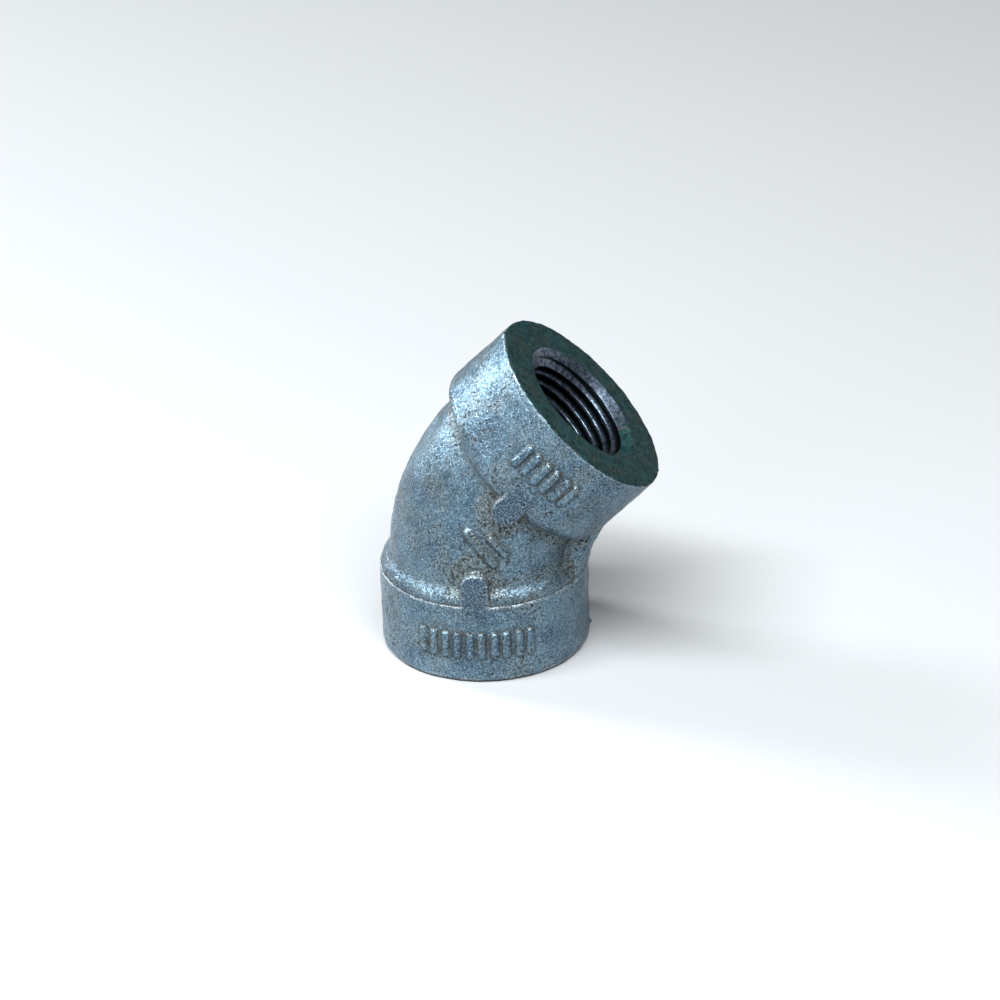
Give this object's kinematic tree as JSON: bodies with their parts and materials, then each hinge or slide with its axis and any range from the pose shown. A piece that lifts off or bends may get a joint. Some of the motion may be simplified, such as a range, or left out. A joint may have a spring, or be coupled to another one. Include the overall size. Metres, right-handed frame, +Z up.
{
  "type": "pipe elbow",
  "caption": "Galvanised 45 degree pipe elbow with banded, female-threaded sockets at both ends, short raised ribs at each band and a rough pad in the crotch.",
  "frame": {"origin": "in the plane of the lower end face, which the elbow stands on, below the middle of the bounding box; the lower socket's axis is vertical at x = -5.96 mm, y = 0", "axes": "+Z up along the lower socket's axis into the fitting; +X the way the upper socket leans, so both axes lie in the XZ plane; +Y towards the back"},
  "size_m": [0.047, 0.035, 0.0558],
  "materials": {
    "zinc_casting": "hot-dip galvanised casting, fine speckled grain, brown stains in the crevices, dark green film on the machined end faces",
    "tapped_iron": "bare cut iron, dark with oil, bright on the thread crests"
  },
  "bodies": {
    "root": {"lower_socket": "zinc_casting", "lower_thread": "tapped_iron", "lower_rib_front": "zinc_casting", "lower_rib_back": "zinc_casting", "upper_socket": "zinc_casting", "upper_thread": "tapped_iron", "upper_rib_front": "zinc_casting", "upper_rib_back": "zinc_casting", "elbow_body": "zinc_casting", "throat_pad": "zinc_casting"}
  },
  "joints": []
}
